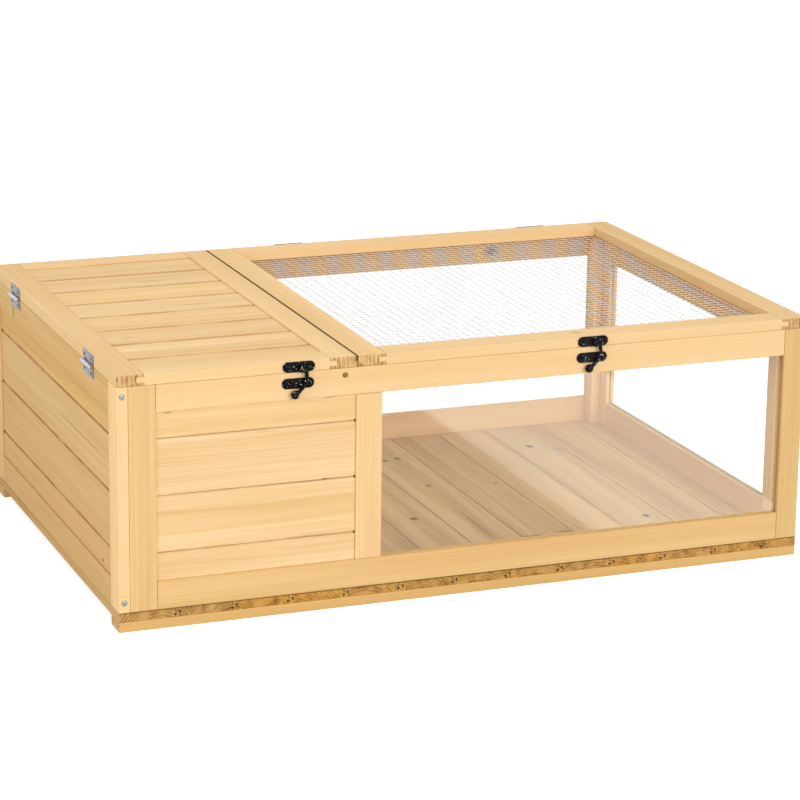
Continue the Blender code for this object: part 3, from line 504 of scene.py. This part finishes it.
def plain_material(name, colour, roughness, metallic=0.0):
    """One colour in patches, over a fine grit."""
    material, t, shader = new_material(name)
    shader.inputs["Metallic"].default_value = metallic
    place = t.object_place()
    patches = t.noise(place, 3.0, scale=260.0)
    grit = t.noise(place, 2.0, scale=1800.0)
    dull, bright = [(*(min(part * gain, 1) for part in colour), 1) for gain in (0.82, 1.12)]
    t.put(shader.inputs["Base Color"], t.mix(t.ramp(patches, 0.3, 0.7), dull, bright))
    t.put(shader.inputs["Roughness"], t.add(roughness, t.times(t.minus(patches, 0.5), 0.25)))
    t.bump(shader, grit, 0.3, 0.0001)
    return material


def acrylic_material():
    """A clear sheet that lets the lamps' light through unbent."""
    material, t, shader = new_material("clear_acrylic")
    shader.inputs["Base Color"].default_value = (0.985, 0.992, 0.99, 1)
    shader.inputs["Transmission Weight"].default_value = 1.0
    shader.inputs["IOR"].default_value = 1.49
    shader.inputs["Roughness"].default_value = 0.0
    path = t.node("LightPath").outputs
    clear = t.node("BsdfTransparent", {"Color": (0.985, 0.99, 0.99, 1)}).outputs[0]
    through = t.most(path["Is Shadow Ray"], path["Is Diffuse Ray"])
    mixed = t.node("MixShader", {0: through, 1: shader.outputs[0], 2: clear}).outputs[0]
    t.put(t.tree.nodes["Material Output"].inputs["Surface"], mixed)
    return material


def black_material():
    """Thick black paint over a hammered surface, with small bright flecks."""
    material, t, shader = new_material("hammered_black")
    shader.inputs["Specular IOR Level"].default_value = 0.05
    place = t.object_place()
    dents = t.noise(place, 2.0, scale=520.0)
    flecks = t.ramp(t.noise(place, 1.0, scale=700.0), 0.68, 0.73)
    paint = t.mix(t.noise(place, 2.0, scale=90.0), (0.002, 0.002, 0.002, 1), (0.006, 0.006, 0.006, 1))
    t.put(shader.inputs["Base Color"], t.mix(flecks, paint, (0.75, 0.76, 0.78, 1)))
    t.put(shader.inputs["Metallic"], t.times(flecks, 0.9))
    t.put(shader.inputs["Roughness"], t.ramp(dents, 0.3, 0.7, 0.20, 0.38))
    t.bump(shader, dents, 0.40, 0.0006)
    return material


zinc_leaf = plain_material("zinc_plate", (0.235, 0.24, 0.25), 0.34, 1.0)
# The barrels and pin use a lighter copy of the leaves' zinc: painted light for the bright streak along them
zinc_barrel = plain_material("zinc_barrel", (0.50, 0.51, 0.53), 0.20, 1.0)
zinc_screw = plain_material("zinc_screw", (0.13, 0.13, 0.12), 0.30, 1.0)
frame_zinc = plain_material("frame_screw_zinc", (0.33, 0.34, 0.36), 0.36, 1.0)
brass = plain_material("yellow_zinc", (0.16, 0.135, 0.042), 0.36, 1.0)
wire = plain_material("galvanised_wire", (0.76, 0.77, 0.77), 0.50)
black = black_material()
acrylic = acrylic_material()


# Shapes

def add_piece(name, shape, materials, body, hidden, smooth=35):
    """A piece of the visual model that rides with a body and stands in for a node."""
    mesh = to_mesh(name, shape)
    piece = bpy.data.objects.new(name, mesh)
    bpy.context.scene.collection.objects.link(piece)
    for material in materials:
        mesh.materials.append(material)
    mesh.shade_smooth()
    mesh.set_sharp_from_angle(angle=math.radians(smooth))
    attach(piece, body)
    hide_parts(hidden)


def to_mesh(name, shape):
    """A mesh of the shape, with all faces turned out."""
    mesh = bpy.data.meshes.new(name)
    bmesh.ops.recalc_face_normals(shape, faces=shape.faces)
    shape.to_mesh(mesh)
    shape.free()
    return mesh


def facing(point, out):
    """A frame at a point of an upright face: x to the right, y up, z out of the face."""
    return Matrix.Translation(point) @ Matrix((Z.cross(out), Z, out)).transposed().to_4x4()


def moved(place, x, y, z=0.0):
    """A place moved along its own axes, in millimetres."""
    return place @ Matrix.Translation((x / 1000, y / 1000, z / 1000))


def smooth_path(points, steps=5):
    """More points, on a smooth curve through the given ones."""
    ends = [points[0] * 2 - points[1], *points, points[-1] * 2 - points[-2]]
    path = []
    for a, b, c, d in zip(ends, ends[1:], ends[2:], ends[3:]):
        square, cube = 2 * a - 5 * b + 4 * c - d, 3 * b - a - 3 * c + d
        for k in range(steps):
            s = k / steps
            path.append(0.5 * (2 * b + (c - a) * s + square * s * s + cube * s ** 3))
    return path + [points[-1]]


def bridge(shape, one, two):
    """Faces between two rings of vertices, either of which may be a single point."""
    for k in range(max(len(one), len(two))):
        after = k + 1
        ring = one[k % len(one)], one[after % len(one)], two[after % len(two)], two[k % len(two)]
        shape.faces.new(list(dict.fromkeys(ring)))


def sweep(shape, points, radii, sides, flat=1.0, normal=Z):
    """A tube along points that lie in one plane, with closed ends."""
    rings = []
    for i, point in enumerate(points):
        before, after = points[max(i - 1, 0)], points[min(i + 1, len(points) - 1)]
        along = (after - before).normalized()
        side = along.cross(normal).normalized()
        ring = []
        for k in range(sides):
            turn = 2 * math.pi * (k + 0.5) / sides
            offset = side * math.cos(turn) * radii[i] + normal * math.sin(turn) * radii[i] * flat
            ring.append(shape.verts.new(point + offset))
        rings.append(ring)
    for one, two in zip(rings, rings[1:]):
        bridge(shape, one, two)
    shape.faces.new(rings[0])
    shape.faces.new(rings[-1])


def lathe(shape, place, profile, steps, closed=False):
    """A profile of radius and height turned about the place's z axis, in millimetres."""
    rings = []
    for radius, height in profile:
        turns = [2 * math.pi * k / steps for k in range(steps if radius > 0 else 1)]
        points = [Vector((radius * math.cos(turn), radius * math.sin(turn), height)) for turn in turns]
        rings.append([shape.verts.new(place @ (point / 1000)) for point in points])
    for one, two in zip(rings, rings[1:] + (rings[:1] if closed else [])):
        bridge(shape, one, two)


def slab(shape, place, outline, low, high, rim, segments):
    """An outline raised from low to high, in millimetres, with a rounded front rim."""
    part = bmesh.new()
    face = part.faces.new([part.verts.new((x / 1000, y / 1000, low / 1000)) for x, y in outline])
    raised = bmesh.ops.extrude_face_region(part, geom=[face])["geom"]
    top = [item for item in raised if isinstance(item, bmesh.types.BMVert)]
    bmesh.ops.translate(part, verts=top, vec=(0, 0, (high - low) / 1000))
    edges = [edge for edge in part.edges if all(vert in top for vert in edge.verts)]
    bmesh.ops.bevel(part, geom=edges, offset=rim / 1000, segments=segments, profile=0.5, affect="EDGES")
    part.transform(place)
    mesh = bpy.data.meshes.new("slab")
    part.to_mesh(mesh)
    part.free()
    shape.from_mesh(mesh)
    bpy.data.meshes.remove(mesh)


RECESS_WIDTH, RECESS_REACH, RECESS_DEPTH = 0.13, 0.60, 0.55  # shares of a screw head's radius and height


def screw_head(shape, place, radius, height, foot=-0.3):
    """A low dome with a cross recess, in millimetres."""
    steps = 48
    turns = [2 * math.pi * k / steps for k in range(steps)]

    def ring(share, base=None):
        spots = [(share * math.cos(turn), share * math.sin(turn)) for turn in turns]
        verts = []
        for x, y in spots:
            level = height * (1 - 0.75 * share ** 3) if base is None else base
            if share < RECESS_REACH and min(abs(x), abs(y)) < RECESS_WIDTH:
                level -= height * RECESS_DEPTH
            verts.append(shape.verts.new(place @ (Vector((x * radius, y * radius, level)) / 1000)))
        return verts

    middle = shape.verts.new(place @ Vector((0, 0, height * (1 - RECESS_DEPTH) / 1000)))
    shares = (0.10, 0.20, 0.30, 0.40, 0.50, 0.58, 0.66, 0.76, 0.86, 0.94, 1.0)
    rings = [[middle], *[ring(share) for share in shares], ring(1.0, foot)]
    for one, two in zip(rings, rings[1:]):
        bridge(shape, one, two)
    shape.faces.new(list(reversed(rings[-1])))


def paint_from(shape, start, index):
    """Gives a material to all faces made since there were as many as start."""
    for face in list(shape.faces)[start:]:
        face.material_index = index


def arc_points(x, y, radius, start, stop, steps):
    """Points on an arc about x and y, from one angle to another in degrees."""
    turns = [math.radians(start + (stop - start) * k / steps) for k in range(steps + 1)]
    return [(x + radius * math.cos(turn), y + radius * math.sin(turn)) for turn in turns]


# Wire mesh and windows

WIRE_COUNT = 48
WIRE_RADIUS = 0.00038
WIRE_INSET = 0.0012
WIRE_BOW = 0.0004
BOW_STEPS = 6


def make_mesh():
    """Welded wire: one layer of nearly straight wires over the other, in the frame's rebate."""
    low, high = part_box("wire_mesh")
    level = (low.z + high.z) / 2
    shape = bmesh.new()
    dice = random.Random(3)
    for axis in (0, 1):
        other = 1 - axis
        height = level + WIRE_RADIUS * (0.55 if axis else -0.55)
        spread = high[other] - low[other] - 2 * WIRE_INSET
        for i in range(WIRE_COUNT):
            place = low[other] + WIRE_INSET + spread * i / (WIRE_COUNT - 1)
            points = []
            bow = dice.uniform(-WIRE_BOW, WIRE_BOW)
            for k in range(BOW_STEPS + 1):
                part = k / BOW_STEPS
                point = Vector((0, 0, height))
                point[axis] = low[axis] + (high[axis] - low[axis]) * part
                point[other] = place + bow * math.sin(math.pi * part)
                points.append(point)
            sweep(shape, points, [WIRE_RADIUS] * len(points), 6)
    add_piece("welded_mesh", shape, [wire], "mesh_lid", "wire_mesh", smooth=60)


def make_windows():
    for name in ("front_wall_pane", "back_wall_pane", "right_wall_pane"):
        nodes[name].data.materials[0] = acrylic


# Hinges. Each leaf is drawn with its pin along x, the plate below it and z out of the wall.

PIN_HEIGHT = 303.65
LEFT_PIN_X, BACK_PIN_Y = -2.9, 605.9
LEAF_HALF, LEAF_REACH, LEAF_CORNER = 21.5, 14.5, 1.2
LEAF_BACK, LEAF_FACE, LEAF_RIM = -2.6, -1.4, 0.25
BARREL_RADIUS, BARREL_BORE, BARREL_RIM = 2.6, 1.1, 0.3
MIDDLE_BARREL_HALF, BARREL_GAP = 7.5, 0.15
NEAR_PIN, CUT_BACK = -0.3, -2.9
PIN_RADIUS, PIN_TIP = 1.2, 0.8
HINGE_SCREW_SIDE, HINGE_SCREW_DOWN = 15, -8.8
HINGE_SCREW = 2.6, 0.7  # radius and height of the head


def leaf_piece(name, place, on_wall, body):
    """A hinge leaf with its rolled barrels and screws. The leaf on the wall also holds the pin."""
    corner_x, corner_y = LEAF_HALF - LEAF_CORNER, LEAF_CORNER - LEAF_REACH
    outline = arc_points(-corner_x, corner_y, LEAF_CORNER, 180, 270, 4)
    outline += arc_points(corner_x, corner_y, LEAF_CORNER, 270, 360, 4)
    if on_wall:
        step = MIDDLE_BARREL_HALF + BARREL_GAP
        outer, inner = NEAR_PIN, CUT_BACK
        barrels = (-LEAF_HALF, -step), (step, LEAF_HALF)
        turned = place
    else:
        step = MIDDLE_BARREL_HALF - BARREL_GAP
        outer, inner = CUT_BACK, NEAR_PIN
        barrels = ((-step, step),)
        turned = place @ Matrix.Rotation(math.pi, 4, "Z")
    right = [(LEAF_HALF, outer), (step, outer), (step, inner)]
    outline += right + [(-x, y) for x, y in reversed(right)]
    shape = bmesh.new()
    slab(shape, turned, outline, LEAF_BACK, LEAF_FACE, LEAF_RIM, 2)
    start = len(shape.faces)
    for low, high in barrels:
        length, rounded = high - low, BARREL_RADIUS - BARREL_RIM
        profile = [
            (BARREL_BORE, 0), (rounded, 0), (BARREL_RADIUS, BARREL_RIM),
            (BARREL_RADIUS, length - BARREL_RIM), (rounded, length), (BARREL_BORE, length),
        ]
        lathe(shape, moved(place, low, 0) @ Matrix.Rotation(math.pi / 2, 4, "Y"), profile, 28, True)
    if on_wall:
        half = [(PIN_RADIUS, LEAF_HALF - 0.5), (PIN_TIP, LEAF_HALF - 0.1), (0, LEAF_HALF)]
        profile = [(radius, -height) for radius, height in reversed(half)] + half
        lathe(shape, place @ Matrix.Rotation(math.pi / 2, 4, "Y"), profile, 16)
    paint_from(shape, start, 1)
    start = len(shape.faces)
    for side in (-HINGE_SCREW_SIDE, HINGE_SCREW_SIDE):
        screw_head(shape, moved(turned, side, HINGE_SCREW_DOWN, LEAF_FACE), *HINGE_SCREW)
    paint_from(shape, start, 2)
    add_piece(name + "_detail", shape, [zinc_leaf, zinc_barrel, zinc_screw], body, name)


def make_hinges():
    for lid, labels, out in (("left_lid", ("front", "back"), -X), ("mesh_lid", ("left", "right"), Y)):
        for label in labels:
            for side, body in (("wall", "cage"), ("lid", lid)):
                name = f"{lid}_{label}_hinge_{side}_leaf"
                low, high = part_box(name)
                middle = (low + high) / 2
                pin = at(LEFT_PIN_X, BACK_PIN_Y, PIN_HEIGHT)
                if lid == "left_lid":
                    pin.y = middle.y
                else:
                    pin.x = middle.x
                leaf_piece(name, facing(pin, out), side == "wall", body)


# Latches, drawn with x to the right, y up and z out of the front wall

PLATE_LENGTH, PLATE_WIDTH, PLATE_THICKNESS, PLATE_RIM = 41, 13, 1.2, 0.8
PLATE_BACK = -0.3  # the plates' backs, from the front of the wall
LATCH_SCREW_SIDE, LATCH_SCREW_SUNK = 15, 0.1
LATCH_SCREW = 2.6, 0.75  # radius and height of the head
SCREW_COLLAR = (2.75, -0.3), (3.5, -0.3), (3.4, 0.18), (3.1, 0.26), (2.75, 0.1)
PIVOT_SIDE, PIVOT_UP = 2.5, -2.3  # the rivet, from the middle of the lid's plate
RIVET_SHANK, RIVET_HEAD, RIVET_FOOT, RIVET_TOP = 1.5, 3.1, 0.8, 6.5
DOME_RADIUS, DOME_FOOT, DOME_RISE = 3.2, 6.8, 1.1
STUD_SIDE, STUD_UP = 4.5, -1.0  # the catch, from the middle of the wall's plate
STUD = (0, 1.0), (2.2, 1.0), (2.2, 1.6), (1.9, 1.85), (0, 1.9)
ARM_OUT = -4.5  # the middle of the arm, from the front of the wall
# The middle of the arm as the photo has it, from the rivet to the right and up
ARM_LINE = (
    (0, 0), (2.4, 0.3), (4.9, -1.3), (6.2, -5.0), (6.5, -10.0), (5.9, -15.2), (3.9, -19.8),
    (0.6, -23.8), (-3.6, -27.8), (-8.2, -31.2),
)
ARM_RADIUS, ARM_SWELL, SWELL_FROM = 2.35, 0.9, 0.78
ARM_FLAT, BALL_FLAT = 0.66, 0.8
ARM_EYE = (1.8, -1.7), (3.9, -1.7), (4.3, -1.3), (4.3, 1.3), (3.9, 1.7), (1.8, 1.7)
BALL_RADIUS = 5.3


def stadium(length, width):
    """An outline with round ends, about its middle."""
    straight, radius = (length - width) / 2, width / 2
    return arc_points(straight, 0, radius, -90, 90, 14) + arc_points(-straight, 0, radius, 90, 270, 14)


def latch_plate(name, body, on_lid):
    """A plate with round ends and a raised rim, its two screws, and the rivet or the stud."""
    low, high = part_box(name)
    place = facing(Vector(((low.x + high.x) / 2, at(0, PLATE_BACK, 0).y, (low.z + high.z) / 2)), -Y)
    shape = bmesh.new()
    slab(shape, place, stadium(PLATE_LENGTH, PLATE_WIDTH), 0, PLATE_THICKNESS, PLATE_RIM, 4)
    for side in (-LATCH_SCREW_SIDE, LATCH_SCREW_SIDE):
        spot = moved(place, side, 0, PLATE_THICKNESS - LATCH_SCREW_SUNK)
        lathe(shape, spot, SCREW_COLLAR, 32, True)
        screw_head(shape, spot, *LATCH_SCREW)
    if on_lid:
        profile = [
            (0, RIVET_FOOT), (RIVET_SHANK, RIVET_FOOT), (RIVET_SHANK, RIVET_TOP), (RIVET_HEAD, RIVET_TOP),
            (DOME_RADIUS, DOME_FOOT),
        ]
        for angle in (20, 40, 60, 78):
            turn = math.radians(angle)
            profile.append((DOME_RADIUS * math.cos(turn), DOME_FOOT + DOME_RISE * math.sin(turn)))
        profile.append((0, DOME_FOOT + DOME_RISE))
        lathe(shape, moved(place, PIVOT_SIDE, PIVOT_UP), profile, 28)
    else:
        lathe(shape, moved(place, STUD_SIDE, STUD_UP), STUD, 24)
    add_piece(name + "_detail", shape, [black], body, name)


def latch_arm(name, pivot):
    """The swinging hook: an eye round the rivet, a flat bent bar and a thick round end."""
    path = smooth_path([pivot + Vector((x, 0, z)) / 1000 for x, z in ARM_LINE])
    last = len(path) - 1
    swells = [max(0.0, (k / last - SWELL_FROM) / (1 - SWELL_FROM)) ** 2 for k in range(last + 1)]
    shape = bmesh.new()
    sweep(shape, path, [(ARM_RADIUS + ARM_SWELL * swell) / 1000 for swell in swells], 20, ARM_FLAT, Y)
    lathe(shape, facing(pivot, -Y), ARM_EYE, 32, True)
    ball = Matrix.Translation(path[-1]) @ Matrix.Diagonal((1, BALL_FLAT, 1, 1))
    bmesh.ops.create_uvsphere(shape, u_segments=32, v_segments=20, radius=BALL_RADIUS / 1000, matrix=ball)
    add_piece(name + "_detail", shape, [black], name, name)


def make_latches():
    for side, lid in (("left", "left_lid"), ("right", "mesh_lid")):
        latch_plate(f"{side}_latch_lid_plate", lid, True)
        latch_plate(f"{side}_latch_catch_plate", "cage", False)
        low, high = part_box(f"{side}_latch_lid_plate")
        pivot = (low + high) / 2 + Vector((PIVOT_SIDE, 0, PIVOT_UP)) / 1000
        pivot.y = at(0, ARM_OUT, 0).y
        latch_arm(f"{side}_latch_arm", pivot)


# Long screws: the shank's profile up to the wood's face, and the head's radius, height and foot
SHANK = (0, -39.5), (1.2, -38), (1.9, -35), (1.9, -2.2), (3.0, -0.5), (3.0, -0.2), (0, -0.2)
LONG_SCREW, LONG_SCREW_SUNK = (3.1, 0.9, -0.2), -0.6


def make_frame_screws():
    """Long screws whose heads show: a head with a cross recess on a straight shank."""
    for name, material, slot in (
        ("left_wall_upper_screw", frame_zinc, "zinc"), ("left_wall_lower_screw", frame_zinc, "zinc"),
        ("divider_screw", brass, "brass"),
    ):
        low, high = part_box(name)
        place = facing(Vector(((low.x + high.x) / 2, low.y, (low.z + high.z) / 2)), -Y)
        shape = bmesh.new()
        lathe(shape, place, SHANK, 28)
        screw_head(shape, moved(place, 0, 0, LONG_SCREW_SUNK), *LONG_SCREW)
        add_piece(name + "_detail", shape, [material], "cage", name)


# Stage, lights and camera

def plane(name, middle, width, depth, material):
    shape = bmesh.new()
    place = Matrix.Translation(middle) @ Matrix.Diagonal((width, depth, 1, 1))
    bmesh.ops.create_grid(shape, x_segments=1, y_segments=1, size=0.5, matrix=place)
    piece = bpy.data.objects.new(name, to_mesh(name, shape))
    bpy.context.scene.collection.objects.link(piece)
    piece.data.materials.append(material)
    return piece


def make_floor():
    """A grey floor that reads white wherever it is seen, also in glass and metal."""
    material, t, shader = new_material("white_floor")
    shader.inputs["Base Color"].default_value = (0.70, 0.70, 0.70, 1)
    shader.inputs["Roughness"].default_value = 0.9
    shader.inputs["Specular IOR Level"].default_value = 0.0
    shader.inputs["Emission Color"].default_value = (1, 1, 1, 1)
    t.put(shader.inputs["Emission Strength"], t.times(t.seen(), 0.70))
    plane("floor", Vector((0, 0, -0.0002)), 30, 30, material)


CARD_LEFT, CARD_RIGHT = 692, 962
CARD_LEFT_FADE, CARD_RIGHT_FADE = 23, 6
CARD_LEAN = 0.104  # how far the card's right edge moves right with each step away from the house


def make_card():
    """A bright card before the house, seen only in reflections: the haze on the front pane."""
    material, t, shader = new_material("bright_card")
    shader.inputs["Base Color"].default_value = (0.82, 0.82, 0.82, 1)
    shader.inputs["Emission Color"].default_value = (1.0, 0.98, 0.87, 1)
    x, y, _ = t.split(t.object_place())
    left = t.ramp(x, at(CARD_LEFT, 0, 0).x, at(CARD_LEFT + CARD_LEFT_FADE, 0, 0).x)
    edge = at(CARD_RIGHT, 0, 0)
    stop = edge.x + edge.y * CARD_LEAN
    right = t.ramp(t.add(x, t.times(y, CARD_LEAN)), stop, stop + CARD_RIGHT_FADE / 1000, 1.0, 0.0)
    t.put(shader.inputs["Emission Strength"], t.add(0.70, t.times(t.times(left, right), 4.0)))
    card = plane("window_card", at(950, -1215, -0.1), 0.56, 2.37, material)
    card.visible_camera = card.visible_diffuse = card.visible_transmission = card.visible_shadow = False


def make_world():
    """An even light from all sides that reads white wherever it is seen."""
    world = bpy.data.worlds.new("studio")
    bpy.context.scene.world = world
    world.use_nodes = True
    t = Tree(world.node_tree)
    back = t.tree.nodes["Background"]
    back.inputs["Color"].default_value = (1, 1, 1, 1)
    t.put(back.inputs["Strength"], t.ramp(t.seen(), 0.0, 1.0, 0.53, 1.0, False))


def area_light(name, place, target, size, power):
    """A softbox, with its place, target and size in metres of the row frame."""
    light = bpy.data.lights.new(name, "AREA")
    light.shape = "RECTANGLE"
    light.size, light.size_y = size
    light.energy = power
    lamp = bpy.data.objects.new(name, light)
    bpy.context.scene.collection.objects.link(lamp)
    lamp.location = place
    lamp.rotation_euler = (Vector(target) - Vector(place)).to_track_quat("-Z", "Y").to_euler()
    lamp.visible_camera = False


def make_lights():
    area_light("top_softbox", (0.3, -0.2, 2.6), (0, 0, 0.1), (2.6, 2.2), 17)
    area_light("front_softbox", (1.26, -5.22, 2.18), (0, 0, 0.2), (3.96, 2.88), 140)
    area_light("left_softbox", (-2.7, -0.9, 1.2), (-0.3, 0, 0.2), (1.8, 1.6), 27)


# The photo's camera, solved from corners of the house
EYE = -912.9, -3254.0, 1233.8
AZIMUTH, TILT, ROLL = math.radians(21.298), math.radians(15.62), math.radians(0.736)
FOCAL_PIXELS, PHOTO_PIXELS, SENSOR = 2993.5, 800, 36


def make_camera():
    level = math.cos(TILT)
    forward = Vector((math.sin(AZIMUTH) * level, math.cos(AZIMUTH) * level, -math.sin(TILT)))
    right = Vector((math.cos(AZIMUTH), -math.sin(AZIMUTH), 0))
    up = right.cross(forward)
    side = math.cos(ROLL) * right + math.sin(ROLL) * up
    top = -math.sin(ROLL) * right + math.cos(ROLL) * up
    data = bpy.data.cameras.new("photo_camera")
    data.sensor_width = SENSOR
    data.lens = SENSOR * FOCAL_PIXELS / PHOTO_PIXELS
    data.clip_end = 60
    camera = bpy.data.objects.new("photo_camera", data)
    bpy.context.scene.collection.objects.link(camera)
    turn = Matrix((side, top, -forward)).transposed().to_4x4()
    camera.matrix_world = Matrix.Translation(at(*EYE)) @ turn
    bpy.context.scene.camera = camera


make_camera()
make_wood()
make_windows()
make_hinges()
make_latches()
make_frame_screws()
make_mesh()
make_floor()
make_card()
make_world()
make_lights()
bpy.context.scene.view_settings.view_transform = "Standard"
